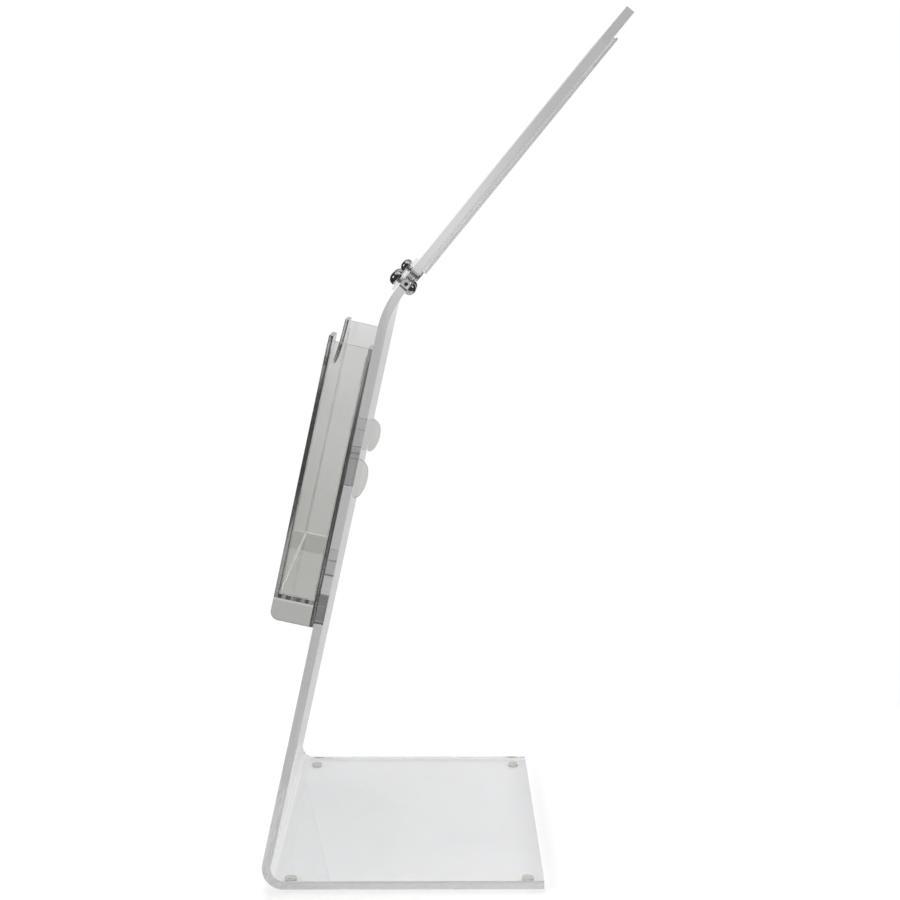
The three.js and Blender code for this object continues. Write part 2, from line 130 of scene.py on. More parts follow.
WALL = 3 * MM
POCKET_WIDTH = 220 * MM
POCKET_DEPTH = 30.3 * MM
POCKET_BOTTOM = 157.3 * MM
POCKET_TOP = 349.6 * MM
FRONT_TOP = 352.4 * MM
FLOOR_TOP = 175 * MM
BOTTOM_CORNER = 6 * MM
TOP_CORNER = 3 * MM
FRONT_CORNER = 2 * MM
POCKET_PLAY = 0.1 * MM
NOTCH_HALF_WIDTH = 64 * MM
NOTCH_DEPTH = 27 * MM
NOTCH_ROUND = 8 * MM
DIP_HALF_WIDTH = 77 * MM
DIP_DEPTH = 6 * MM
HOOK_NECK = (258.5 * MM, 276.7 * MM)
HOOK_LIP_BOTTOM = 250.4 * MM
HOOK_LIP_ROUND = 2 * MM
HOOK_REACH = 8.1 * MM
HOOK_SLOT = (258.2 * MM, 285.6 * MM)
TAB = (163.6 * MM, 174 * MM)
TAB_SLOT = (161.8 * MM, 183 * MM)
TAB_END = 0.5 * MM
TAB_CORNER = 0.8 * MM
SLOT_WIDTH = 3.8 * MM
SLOT_CORNER = 0.8 * MM
WELD_SIZE = 0.8 * MM
WELD_INSET = 0.1 * MM
WELD_LIFT = 0.05 * MM
WELD_STEP = 3 * MM

EDGE_BEVEL = 0.45 * MM
FINE_BEVEL = 0.25 * MM
ROD_BEVEL = 0.3 * MM
TAPE_BEVEL = 0.1 * MM
BEVEL_FROM = math.radians(32)        # edges at least this sharp are rounded
CUT_PAST = 2 * MM                    # how far a cutter stands out of what it cuts
ON_AXIS = 0.0001 * MM                # a turned profile's points nearer than this are on its axis
FACE, EDGE = 0, 1                    # a piece's two material slots: polished faces, cut edges

AT_STEM = Matrix.Translation(STEM_ORIGIN) @ Matrix.Rotation(STEM_LEAN, 4, "Y")
AT_BOARD = Matrix.Translation(PIVOT) @ Matrix.Rotation(BOARD_LEAN, 4, "Y")
UPRIGHT = Matrix.Translation(STEM_ORIGIN)

stem_up = Vector((math.sin(STEM_LEAN), math.cos(STEM_LEAN)))
board_up = Vector((math.sin(BOARD_LEAN), math.cos(BOARD_LEAN)))
base_mid_z = FOOT_HEIGHT + GAP + HALF_SHEET
base_corner = Vector((BASE_CORNER_X, base_mid_z))
pivot_point = Vector((PIVOT_X, PIVOT_Z))
stem_mid = base_corner.x * stem_up.y - base_corner.y * stem_up.x
stem_front = stem_mid - HALF_SHEET
stem_rear = stem_mid + HALF_SHEET
pocket_rear = stem_front - GAP - POCKET_PLAY
pocket_front = pocket_rear - POCKET_DEPTH
inner_half = POCKET_WIDTH / 2 - WALL - SEAM


# ---- outlines ------------------------------------------------------------------------------

def bezier(p0, p1, p2, p3, steps=14):
    """Points after p0 on a cubic curve, p3 included."""
    points = []
    for k in range(1, steps + 1):
        t = k / steps
        s = 1 - t
        weights = (s ** 3, 3 * s * s * t, 3 * s * t * t, t ** 3)
        x = sum(w * p[0] for w, p in zip(weights, (p0, p1, p2, p3)))
        z = sum(w * p[1] for w, p in zip(weights, (p0, p1, p2, p3)))
        points.append((x, z))
    return points


def arc(centre, radius, start, end, steps=12):
    points = []
    for k in range(steps + 1):
        angle = math.radians(start + (end - start) * k / steps)
        points.append((centre[0] + radius * math.cos(angle), centre[1] + radius * math.sin(angle)))
    return points


def side_of_sheet(corners, radii, steps, offset):
    """One side of a bent sheet: its mid-line with each corner rounded, moved sideways."""
    def normal(a, b):
        d = (b - a).normalized()
        return Vector((-d.y, d.x))

    side = [corners[0] + normal(corners[0], corners[1]) * offset]
    for i in range(1, len(corners) - 1):
        before = normal(corners[i - 1], corners[i])
        after = normal(corners[i], corners[i + 1])
        turn = math.atan2(before.x * after.y - before.y * after.x, before.dot(after))
        radius = radii[i - 1]
        into = (corners[i] - corners[i - 1]).normalized()
        start = corners[i] - into * radius * math.tan(abs(turn) / 2)
        signed = math.copysign(radius, turn)
        centre = start + before * signed
        for k in range(steps[i - 1] + 1):
            spoke = before.copy()
            spoke.rotate(Matrix.Rotation(turn * k / steps[i - 1], 2))
            side.append(centre - spoke * (signed - offset))
    side.append(corners[-1] + normal(corners[-2], corners[-1]) * offset)
    return side


# ---- mesh building -------------------------------------------------------------------------

def new_object(name, bm):
    """An object with empty FACE and EDGE material slots, which piece() fills."""
    bmesh.ops.recalc_face_normals(bm, faces=bm.faces)
    mesh = bpy.data.meshes.new(name)
    bm.to_mesh(mesh)
    bm.free()
    obj = bpy.data.objects.new(name, mesh)
    bpy.context.scene.collection.objects.link(obj)
    for _ in (FACE, EDGE):
        mesh.materials.append(None)
    return obj


def prism(name, outline, low, high, along="Y", caps=FACE, sides=EDGE, cut_sides=()):
    """An outline pushed along Y (drawn in x, z) or along X (drawn in y, z).

    caps and sides are material slots; cut_sides are the outline's segments that are cut edges.
    """
    bm = bmesh.new()
    rings = []
    for depth in (low, high):
        ring = []
        for a, b in outline:
            place = (a, depth, b) if along == "Y" else (depth, a, b)
            ring.append(bm.verts.new(place))
        rings.append(ring)
    count = len(outline)
    for ring in rings:
        bm.faces.new(ring).material_index = caps
    for i in range(count):
        j = (i + 1) % count
        face = bm.faces.new((rings[0][i], rings[0][j], rings[1][j], rings[1][i]))
        face.material_index = EDGE if i in cut_sides else sides
    return new_object(name, bm)


def block(name, x, y, z, **slots):
    outline = [(x[0], z[0]), (x[1], z[0]), (x[1], z[1]), (x[0], z[1])]
    return prism(name, outline, y[0], y[1], **slots)


def circle(radius, centre=(0, 0), sides=48):
    return arc(centre, radius, 0, 360 * (sides - 1) / sides, sides - 1)


def rod_y(name, radius, low, high, sides=48):
    return prism(name, circle(radius, sides=sides), low, high)


def rod_x(name, radius, low, high, centre, sides=40):
    return prism(name, circle(radius, centre, sides), low, high, along="X")


def turned(name, profile, direction, at, segments=56):
    """A turned piece with its axis along x. direction -1 faces the user, +1 the rear."""
    bm = bmesh.new()
    rings = []
    for r, h in profile:
        if r < ON_AXIS:
            rings.append([bm.verts.new((direction * h, 0, 0))])
            continue
        ring = []
        for k in range(segments):
            angle = 2 * math.pi * k / segments
            place = (direction * h, r * math.cos(angle), r * math.sin(angle))
            ring.append(bm.verts.new(place))
        rings.append(ring)
    closed = profile[0] == profile[-1]
    if closed:
        for vert in rings.pop():
            bm.verts.remove(vert)
    pairs = list(zip(rings, rings[1:] + (rings[:1] if closed else [])))
    for a, b in pairs[:len(profile) - 1]:
        for k in range(segments):
            n = (k + 1) % segments
            if len(a) == 1 and len(b) > 1:
                bm.faces.new((a[0], b[k], b[n]))
            elif len(b) == 1 and len(a) > 1:
                bm.faces.new((a[k], a[n], b[0]))
            elif len(a) > 1:
                bm.faces.new((a[k], a[n], b[n], b[k]))
    bmesh.ops.translate(bm, verts=bm.verts, vec=Vector(at))
    return new_object(name, bm)


def apply_modifiers(obj):
    depsgraph = bpy.context.evaluated_depsgraph_get()
    final = bpy.data.meshes.new_from_object(obj.evaluated_get(depsgraph))
    old = obj.data
    obj.modifiers.clear()
    obj.data = final
    bpy.data.meshes.remove(old)


def combine(obj, others, operation):
    for other in others:
        modifier = obj.modifiers.new("join", "BOOLEAN")
        modifier.operation = operation
        modifier.solver = "EXACT"
        modifier.object = other
    apply_modifiers(obj)
    for other in others:
        bpy.data.objects.remove(other)


def finish_mesh(obj, matrix, bevel, sharp=28):
    """Rounds the edges, sets the piece in place and smooths what is meant to be round."""
    if bevel:
        modifier = obj.modifiers.new("edge", "BEVEL")
        modifier.width = bevel
        modifier.segments = 2
        modifier.limit_method = "ANGLE"
        modifier.angle_limit = BEVEL_FROM
        modifier.miter_outer = "MITER_ARC"
        apply_modifiers(obj)
    obj.data.transform(matrix)
    obj.data.shade_smooth()
    obj.data.set_sharp_from_angle(angle=math.radians(sharp))
    modifier = obj.modifiers.new("flat_faces", "WEIGHTED_NORMAL")
    modifier.weight = 100
    modifier.keep_sharp = True
    apply_modifiers(obj)


def piece(obj, materials, body, replaces=()):
    """Gives a finished mesh its materials, its body and the CAD nodes that it stands for."""
    slots = obj.data.materials
    for i, material in enumerate(materials):
        slots[i] = material
    while len(slots) > len(materials):
        slots.pop()
    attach(obj, body)
    if replaces:
        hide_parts(*replaces)


# ---- materials -----------------------------------------------------------------------------

class Shader:
    """A small helper for wiring the nodes of a material, or of the world."""

    def __init__(self, name, world=False):
        self.material = (bpy.data.worlds if world else bpy.data.materials).new(name)
        self.material.use_nodes = True
        self.tree = self.material.node_tree
        self.tree.nodes.clear()
        self.output = self.add("ShaderNodeOutputWorld" if world else "ShaderNodeOutputMaterial")
        coords = self.add("ShaderNodeTexCoord")
        self.coords = coords.outputs["Generated" if world else "Object"]

    def add(self, kind, **settings):
        node = self.tree.nodes.new(kind)
        for key, value in settings.items():
            setattr(node, key, value)
        return node

    def link(self, source, target):
        self.tree.links.new(source, target)

    def stretched(self, scale, turn=(0, 0, 0)):
        node = self.add("ShaderNodeMapping")
        node.inputs["Scale"].default_value = scale
        node.inputs["Rotation"].default_value = turn
        self.link(self.coords, node.inputs["Vector"])
        return node.outputs["Vector"]

    def along_stem(self, scale):
        """Coordinates turned into the stem's axes and then scaled."""
        turned_axes = self.add("ShaderNodeMapping")
        turned_axes.inputs["Rotation"].default_value = (0, -STEM_LEAN, 0)
        self.link(self.coords, turned_axes.inputs["Vector"])
        node = self.add("ShaderNodeMapping")
        node.inputs["Scale"].default_value = scale
        self.link(turned_axes.outputs["Vector"], node.inputs["Vector"])
        return node.outputs["Vector"]

    def split(self, vector):
        node = self.add("ShaderNodeSeparateXYZ")
        self.link(vector, node.inputs[0])
        return node.outputs

    def noise(self, scale, detail=4, vector=None, distortion=0.0):
        node = self.add("ShaderNodeTexNoise")
        node.inputs["Scale"].default_value = scale
        node.inputs["Detail"].default_value = detail
        node.inputs["Distortion"].default_value = distortion
        self.link(vector or self.coords, node.inputs["Vector"])
        return node.outputs["Fac"]

    def specks(self, scale):
        node = self.add("ShaderNodeTexVoronoi")
        node.inputs["Scale"].default_value = scale
        self.link(self.coords, node.inputs["Vector"])
        return node.outputs["Distance"]

    def ramp(self, value, low, high, to_low=0.0, to_high=1.0):
        node = self.add("ShaderNodeMapRange")
        node.interpolation_type = "SMOOTHSTEP"
        node.inputs["From Min"].default_value = low
        node.inputs["From Max"].default_value = high
        node.inputs["To Min"].default_value = to_low
        node.inputs["To Max"].default_value = to_high
        self.link(value, node.inputs["Value"])
        return node.outputs["Result"]

    def maths(self, operation, *values):
        node = self.add("ShaderNodeMath", operation=operation)
        for socket, value in zip(node.inputs, values):
            if isinstance(value, (int, float)):
                socket.default_value = value
            else:
                self.link(value, socket)
        return node.outputs[0]

    def blend(self, factor, a, b):
        node = self.add("ShaderNodeMix", data_type="RGBA")
        self.link(factor, node.inputs["Factor"])
        node.inputs["A"].default_value = (*a, 1)
        node.inputs["B"].default_value = (*b, 1)
        return node.outputs["Result"]

    def show_mix(self, factor, first, second):
        """Gives the surface the first shader where factor is 0 and the second where it is 1."""
        node = self.add("ShaderNodeMixShader")
        for source, target in zip((factor, first, second), node.inputs):
            self.link(source, target)
        self.link(node.outputs[0], self.output.inputs["Surface"])

    def bump(self, height, distance, strength=1.0):
        node = self.add("ShaderNodeBump")
        node.inputs["Strength"].default_value = strength
        node.inputs["Distance"].default_value = distance
        self.link(height, node.inputs["Height"])
        return node.outputs["Normal"]


def principled(shader, **values):
    node = shader.add("ShaderNodeBsdfPrincipled")
    for key, value in values.items():
        socket = node.inputs[key.replace("_", " ")]
        if isinstance(value, bpy.types.NodeSocket):
            shader.link(value, socket)
        else:
            socket.default_value = value
    return node


def let_lamps_through(shader, surface, clear):
    """Lamps shine through clear plastic, so rays towards them see a plain tinted film."""
    path = shader.add("ShaderNodeLightPath")
    film = shader.add("ShaderNodeBsdfTransparent")
    film.inputs["Color"].default_value = (*clear, 1)
    shader.show_mix(path.outputs["Is Shadow Ray"], surface, film.outputs[0])


def absorb(shader, tint):
    """Tints the body of the plastic; tint is a colour and a density per metre."""
    colour, density = tint
    volume = shader.add("ShaderNodeVolumeAbsorption")
    volume.inputs["Color"].default_value = (*colour, 1)
    volume.inputs["Density"].default_value = density
    shader.link(volume.outputs[0], shader.output.inputs["Volume"])


ACRYLIC_IOR = 1.49
PAINTED_SHADE_GREY = (0.79, 0.785, 0.775)     # painted shade on the lowest part of the pocket's plastic, under its floor
PAINTED_STREAK_DARK = (0.06, 0.06, 0.065)      # painted dark reflection lines up the walls' cut edges


def hair_scratches(shader):
    """Fine scratches in two directions, where a stretched noise crosses its middle value."""
    marks = []
    for turn in ((0.2, 0.1, 0.4), (1.1, 0.5, -0.7)):
        lines = shader.noise(1.0, 2, shader.stretched((260, 14, 300), turn))
        off_middle = shader.maths("ABSOLUTE", shader.maths("SUBTRACT", lines, 0.5))
        marks.append(shader.ramp(off_middle, 0.0, 0.006, 1.0, 0.0))
    return shader.maths("MAXIMUM", *marks)


def paint_shade_below(shader, colour, depth, height, top):
    """Paints shade: darkens the plastic below a height, but only in front of the stem."""
    low = shader.ramp(height, top - MM, top, 1.0, 0.0)
    ahead = shader.ramp(depth, pocket_rear, stem_front + MM, 1.0, 0.0)
    deep = shader.add("ShaderNodeMix", data_type="RGBA", blend_type="MULTIPLY")
    shader.link(shader.maths("MULTIPLY", low, ahead), deep.inputs["Factor"])
    shader.link(colour, deep.inputs["A"])
    deep.inputs["B"].default_value = (*PAINTED_SHADE_GREY, 1)
    return deep.outputs["Result"]


def acrylic_face(name, clean, worn, tint, scratch=0.12, wave=0.00002, painted_shade_heights=None):
    """Polished faces of the sheet: hair scratches, wiping marks and a little dust.

    scratch is the roughness that scratches add, and wave the depth of the sheet's slow unevenness.
    The last argument, when given, holds three heights up the stem and paints shade: the plastic greys
    from the second down to the first and is greyest below the third, except inside the stem's slots,
    which stay clean and unshaded.
    """
    shader = Shader(name)
    scratches = hair_scratches(shader)
    patches = shader.ramp(shader.noise(16, 5, distortion=0.6), 0.45, 0.75)
    dust = shader.ramp(shader.specks(330), 0.03, 0.07, 1.0, 0.0)
    rough = shader.maths("MULTIPLY_ADD", patches, 0.035, 0.008)
    rough = shader.maths("ADD", rough, shader.maths("MULTIPLY", scratches, scratch))
    rough = shader.maths("ADD", rough, shader.maths("MULTIPLY", dust, 0.3))
    grime_and_shade = shader.maths("ADD", shader.maths("MULTIPLY", patches, 0.35), dust)
    if painted_shade_heights:
        # painted shade: the plastic greys down the pocket, except inside the stem's slots
        depth, _, height = shader.split(shader.along_stem((1, 1, 1)))
        grime_and_shade = shader.maths("ADD", grime_and_shade, shader.ramp(height, *painted_shade_heights[:2], 1.0, 0.0))
        in_slot = shader.maths("MULTIPLY", shader.ramp(depth, stem_front, stem_front + MM),
                               shader.ramp(depth, stem_rear, stem_rear + MM, 1.0, 0.0))
        grime_and_shade = shader.maths("SUBTRACT", grime_and_shade, shader.maths("MULTIPLY", in_slot, 2.0))
    grime_and_shade.node.use_clamp = True
    colour = shader.blend(grime_and_shade, clean, worn)
    if painted_shade_heights:
        # painted shade under the pocket's floor, in front of the stem
        colour = paint_shade_below(shader, colour, depth, height, painted_shade_heights[2])
    normal = shader.bump(shader.noise(40, 2), wave, 0.5)
    body = principled(shader, Base_Color=colour, Roughness=rough, IOR=ACRYLIC_IOR,
                      Transmission_Weight=1.0, Normal=normal)
    let_lamps_through(shader, body.outputs[0], clean)
    absorb(shader, tint)
    return shader.material


def acrylic_edge(name, colour, tint, roughness, ripple=0.4, streaked=False):
    """Saw-cut and flame-polished edges: fine ripples across the sheet under a soft gloss.

    A streaked edge has long dark and clear lines up the stem, painted in as dark reflections.
    """
    shader = Shader(name)
    saw = shader.noise(1.0, 3, shader.stretched((420, 60, 420)))
    wide = shader.noise(35, 3)
    rough = shader.maths("MULTIPLY_ADD", saw, 0.08, roughness)
    normal = shader.bump(shader.maths("ADD", saw, wide), 0.00006, ripple)
    tone = (*colour, 1)
    if streaked:
        # painted reflections: dark and clear lines up the stem
        lines = shader.noise(1.0, 2, shader.along_stem((480, 0, 9)))
        tone = shader.blend(shader.ramp(lines, 0.45, 0.53), PAINTED_STREAK_DARK, colour)
    body = principled(shader, Base_Color=tone, Roughness=rough, IOR=ACRYLIC_IOR,
                      Transmission_Weight=1.0, Normal=normal)
    let_lamps_through(shader, body.outputs[0], colour)
    absorb(shader, tint)
    return shader.material


def chrome():
    """Bright plating with a faint haze and small worn patches."""
    shader = Shader("polished_chrome")
    haze = shader.noise(900, 4)
    wear = shader.ramp(shader.noise(260, 6, distortion=0.8), 0.52, 0.7)
    colour = shader.blend(wear, (0.56, 0.56, 0.58), (0.30, 0.29, 0.29))
    rough = shader.maths("MULTIPLY_ADD", wear, 0.22, 0.05)
    normal = shader.bump(haze, 0.00006, 0.4)
    body = principled(shader, Base_Color=colour, Metallic=1.0, Roughness=rough, Normal=normal)
    shader.link(body.outputs[0], shader.output.inputs["Surface"])
    return shader.material


def bright_thread():
    """Zinc-plated thread under a chromed head: lighter and softer than the head."""
    shader = Shader("zinc_thread")
    film = shader.ramp(shader.noise(700, 5, distortion=0.5), 0.35, 0.75)
    colour = shader.blend(film, (0.86, 0.86, 0.85), (0.70, 0.70, 0.70))
    rough = shader.maths("MULTIPLY_ADD", film, 0.2, 0.3)
    normal = shader.bump(film, 0.00003, 0.4)
    body = principled(shader, Base_Color=colour, Metallic=0.4, Roughness=rough, Normal=normal)
    shader.link(body.outputs[0], shader.output.inputs["Surface"])
    return shader.material


def bumper_plastic():
    """Soft clear plastic, yellowed, with painted shade that makes it darker round its rim than on its
    flat faces.
    """
    shader = Shader("yellowed_bumper")
    upward = shader.split(shader.add("ShaderNodeNewGeometry").outputs["Normal"])["Z"]
    # painted shade: the sides, facing neither up nor down, are drawn darker
    rim = shader.ramp(shader.maths("ABSOLUTE", upward), 0.3, 0.95, 0.8, 0.0)
    cloud_and_rim_shade = shader.maths("ADD", rim, shader.ramp(shader.noise(420, 4), 0.35, 0.7, 0.0, 0.2))
    colour = shader.blend(cloud_and_rim_shade, (1.0, 0.99, 0.90), (0.80, 0.775, 0.63))
    rough = shader.maths("MULTIPLY_ADD", cloud_and_rim_shade, 0.18, 0.22)
    normal = shader.bump(shader.noise(1500, 3), 0.00008, 0.4)
    body = principled(shader, Base_Color=colour, Roughness=rough, IOR=1.46,
                      Transmission_Weight=0.8, Normal=normal)
    shader.link(body.outputs[0], shader.output.inputs["Surface"])
    return shader.material


def bond_tape():
    """Clear bonding tape with fine round cells."""
    shader = Shader("translucent_tape")
    cells = shader.ramp(shader.specks(420), 0.15, 0.5)
    colour = shader.blend(cells, (0.97, 0.97, 0.965), (0.90, 0.90, 0.89))
    normal = shader.bump(cells, 0.00001, 0.2)
    body = principled(shader, Base_Color=colour, Roughness=0.12, IOR=1.45,
                      Transmission_Weight=1.0, Normal=normal)
    shader.link(body.outputs[0], shader.output.inputs["Surface"])
    return shader.material


def weld_cement():
    """Solvent cement in the pocket's corners: clear, with strings of tiny bubbles."""
    shader = Shader("weld_cement")
    bubbles = shader.ramp(shader.specks(1100), 0.2, 0.32, 1.0, 0.0)
    colour = shader.blend(bubbles, (0.98, 0.98, 0.96), (0.80, 0.80, 0.78))
    rough = shader.maths("MULTIPLY_ADD", bubbles, 0.4, 0.12)
    normal = shader.bump(bubbles, 0.0002, 0.8)
    body = principled(shader, Base_Color=colour, Roughness=rough, IOR=1.47,
                      Transmission_Weight=0.45, Normal=normal)
    let_lamps_through(shader, body.outputs[0], (0.8, 0.81, 0.79))
    return shader.material


STAND_TINT = ((0.56, 0.56, 0.57), 2.6)
POCKET_TINT = ((0.42, 0.44, 0.41), 6.0)
WALL_TINT = (POCKET_TINT[0], 2.4)
POCKET_CLEAN = (0.985, 0.985, 0.978)
POCKET_WORN_AND_SHADED = (0.85, 0.85, 0.835)
# heights up the stem for the pocket's painted shade: greyer downwards, greyest under its floor
POCKET_SHADE_HEIGHTS = (190 * MM, 340 * MM, FLOOR_TOP - WALL)

CLEAR = (
    acrylic_face("acrylic_face", (0.985, 0.987, 0.991), (0.925, 0.930, 0.936), STAND_TINT),
    acrylic_edge("acrylic_edge", (0.975, 0.975, 0.975), STAND_TINT, 0.01, ripple=0.12),
)
THIN_CLEAR = (
    acrylic_face("thin_sheet_face", (0.988, 0.988, 0.988), (0.95, 0.95, 0.95), STAND_TINT,
                 scratch=0.03, wave=0.000002),
    acrylic_edge("thin_sheet_edge", (0.985, 0.985, 0.985), STAND_TINT, 0.004, ripple=0.02),
)
CHEEK = (
    acrylic_face("pocket_face", POCKET_CLEAN, POCKET_WORN_AND_SHADED, POCKET_TINT, painted_shade_heights=POCKET_SHADE_HEIGHTS),
    acrylic_edge("pocket_edge", (0.88, 0.89, 0.87), POCKET_TINT, 0.03),
)
WALLS = (
    acrylic_face("pocket_wall_face", POCKET_CLEAN, POCKET_WORN_AND_SHADED, WALL_TINT, wave=0.00015,
                 painted_shade_heights=POCKET_SHADE_HEIGHTS),
    acrylic_edge("pocket_wall_edge", (0.96, 0.96, 0.96), WALL_TINT, 0.03, streaked=True),
)
CHROME = chrome()
THREAD = bright_thread()
BUMPER = bumper_plastic()
TAPE = bond_tape()
CEMENT = weld_cement()


# ---- stand ---------------------------------------------------------------------------------

def top_corner():
    """Where the stem's mid-line meets the board's."""
    across = stem_up.x * board_up.y - stem_up.y * board_up.x
    offset = pivot_point - base_corner
    return base_corner + stem_up * (offset.x * board_up.y - offset.y * board_up.x) / across


def slot_cutter(z, y):
    """A routed slot right through the stem, with small round corners."""
    r = SLOT_CORNER
    low, high = y - SLOT_WIDTH / 2, y + SLOT_WIDTH / 2
    outline = []
    outline += arc((high - r, z[1] - r), r, 0, 90, 4)
    outline += arc((low + r, z[1] - r), r, 90, 180, 4)
    outline += arc((low + r, z[0] + r), r, 180, 270, 4)
    outline += arc((high - r, z[0] + r), r, 270, 360, 4)
    return prism("cutter", outline, stem_front - CUT_PAST, stem_rear + CUT_PAST, along="X",
                 sides=FACE)


def stand_sheet():
    """The base and the stem, bent from one sheet, with its slots and screw holes."""
    rear_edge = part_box("stand_sheet")[1].x - STEM_ORIGIN.x
    mid_line = [Vector((rear_edge, base_mid_z)), base_corner, top_corner(),
                pivot_point - board_up * END_GAP]
    radii = (BASE_BEND_RADIUS, TOP_BEND_RADIUS)
    steps = (40, 24)
    outside = side_of_sheet(mid_line, radii, steps, HALF_SHEET)
    inside = side_of_sheet(mid_line, radii, steps, -HALF_SHEET)
    outline = [tuple(p) for p in outside + inside[::-1]]
    ends = (len(outside) - 1, len(outline) - 1)
    sheet = prism("stand_bent_sheet", outline, -WIDTH / 2, WIDTH / 2, caps=EDGE, sides=FACE,
                  cut_sides=ends)
    sheet.data.transform(UPRIGHT)
    cutters = []
    for _, side in HANDS:
        y = side * (POCKET_WIDTH - WALL) / 2
        for z in (HOOK_SLOT, TAB_SLOT):
            cutters.append(slot_cutter(z, y))
            cutters[-1].data.transform(AT_STEM)
        hole = rod_x("cutter", HOLE_RADIUS, -5 * SHEET, 5 * SHEET,
                     (side * STEM_SCREW_Y, -SCREW_OFFSET))
        hole.data.transform(AT_BOARD)
        cutters.append(hole)
    combine(sheet, cutters, "DIFFERENCE")
    finish_mesh(sheet, Matrix.Identity(4), EDGE_BEVEL)
    piece(sheet, CLEAR, "stand", ["stand_sheet"])


def bumper_foot(node):
    """A soft round bumper with a rolled lower edge and a shallow dimple underneath."""
    low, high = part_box(node)
    top = high.z - low.z + GAP - SEAM
    roll = 0.8 * MM
    dimple = 0.25 * MM
    ease = 0.15 * MM
    profile = [(0, dimple), (0.35 * FOOT_RADIUS, 0.88 * dimple), (0.6 * FOOT_RADIUS, 0)]
    profile += arc((FOOT_RADIUS - roll, roll), roll, -90, 0, 8)
    profile += [(FOOT_RADIUS, top - ease), (FOOT_RADIUS - ease, top), (0, top)]
    foot = turned(node.replace("foot", "bumper"), profile, 1, (0, 0, 0), 48)
    centre = (low + high) / 2
    stand_up = Matrix.Rotation(-math.pi / 2, 4, "Y")
    finish_mesh(foot, Matrix.Translation((centre.x, centre.y, low.z)) @ stand_up, 0)
    piece(foot, [BUMPER], "stand", [node])


# ---- hinge ---------------------------------------------------------------------------------

def along_sheet(side, a, b):
    return (min(side * a, side * b), max(side * a, side * b))


def hinge_leaf(name, side, body, node):
    """Leaf and knuckles in one clear piece: side -1 is the stem's, +1 the board's."""
    half = KNUCKLE_WIDTH * KNUCKLE_COUNT / 2
    x_far = -(HALF_SHEET + GAP + LEAF_THICKNESS)
    x_near = -(HALF_SHEET + GAP)
    leaf = block(name, (x_far, x_near), (-half, half), along_sheet(side, LEAF_CLEAR, LEAF_LENGTH))
    extra = []
    bores = []
    for i in range(KNUCKLE_COUNT):
        if (-1 if i % 2 == 0 else 1) != side:
            continue
        low = -half + i * KNUCKLE_WIDTH + (0 if i == 0 else GAP / 2)
        high = -half + (i + 1) * KNUCKLE_WIDTH - (0 if i == KNUCKLE_COUNT - 1 else GAP / 2)
        extra.append(rod_y("part", KNUCKLE_RADIUS, low, high))
        extra.append(block("part", (x_far, -1 * MM), (low, high), along_sheet(side, *WEB)))
        reach = along_sheet(side, WEB[0], LEAF_CLEAR + 1 * MM)
        extra.append(block("part", (x_far, x_near), (low, high), reach))
        bores.append(rod_y("bore", BORE_RADIUS, low - MM, high + MM))
    combine(leaf, extra, "UNION")
    screw_y = STEM_SCREW_Y if side < 0 else BOARD_SCREW_Y
    for sign in (-1, 1):
        bores.append(rod_x("bore", HOLE_RADIUS, -3 * SHEET, 3 * SHEET,
                           (sign * screw_y, side * SCREW_OFFSET)))
    combine(leaf, bores, "DIFFERENCE")
    finish_mesh(leaf, AT_BOARD, FINE_BEVEL)
    piece(leaf, CLEAR, body, [node])


def hinge_filler(node, side):
    """Filler bar on the rod: flat against the stem's end, rounded towards the board."""
    flat = -(END_GAP - GAP)
    half = HALF_SHEET - FILLER_INSET
    reach = KNUCKLE_RADIUS - FILLER_INSET
    outline = [(-half, flat), (half, flat)]
    outline += [(half * x, reach * z) for x, z in arc((0, 0), 1, 0, 180, 24)]
    inner = KNUCKLE_WIDTH * KNUCKLE_COUNT / 2 + GAP
    outer = WIDTH / 2 - GAP
    low, high = (-outer, -inner) if side < 0 else (inner, outer)
    bar = prism(node.replace("spacer", "filler"), outline, low, high, caps=EDGE, sides=FACE)
    combine(bar, [rod_y("bore", BORE_RADIUS, low - MM, high + MM)], "DIFFERENCE")
    finish_mesh(bar, AT_BOARD, FINE_BEVEL)
    piece(bar, CLEAR, "stand", [node])


def hinge_rod():
    low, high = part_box("hinge_pin")
    rod = rod_y("hinge_rod", PIN_RADIUS, low.y, high.y, sides=40)
    finish_mesh(rod, AT_BOARD, ROD_BEVEL)
    piece(rod, [CHROME], "stand", ["hinge_pin"])


# ---- fasteners -----------------------------------------------------------------------------

FRONT_WASHER_X = -(HALF_SHEET + LEAF_THICKNESS + 2 * GAP - SNUG)
HEAD_X = FRONT_WASHER_X - WASHER_THICKNESS - GAP + SNUG
REAR_WASHER_X = HALF_SHEET + GAP
NUT_X = REAR_WASHER_X + WASHER_THICKNESS + GAP


def dome(radius, rim, height):
    """Rim, soft shoulder and dome of a head or a cap nut."""
    ease = 0.25 * MM
    wide = radius - ease / 2
    points = [(radius - ease, 0), (radius, ease), (radius, rim - ease)]
    points += [(wide * r, rim + (height - rim) * h) for r, h in arc((0, 0), 1, 0, 90)]
    points[-1] = (0, height)
    return points


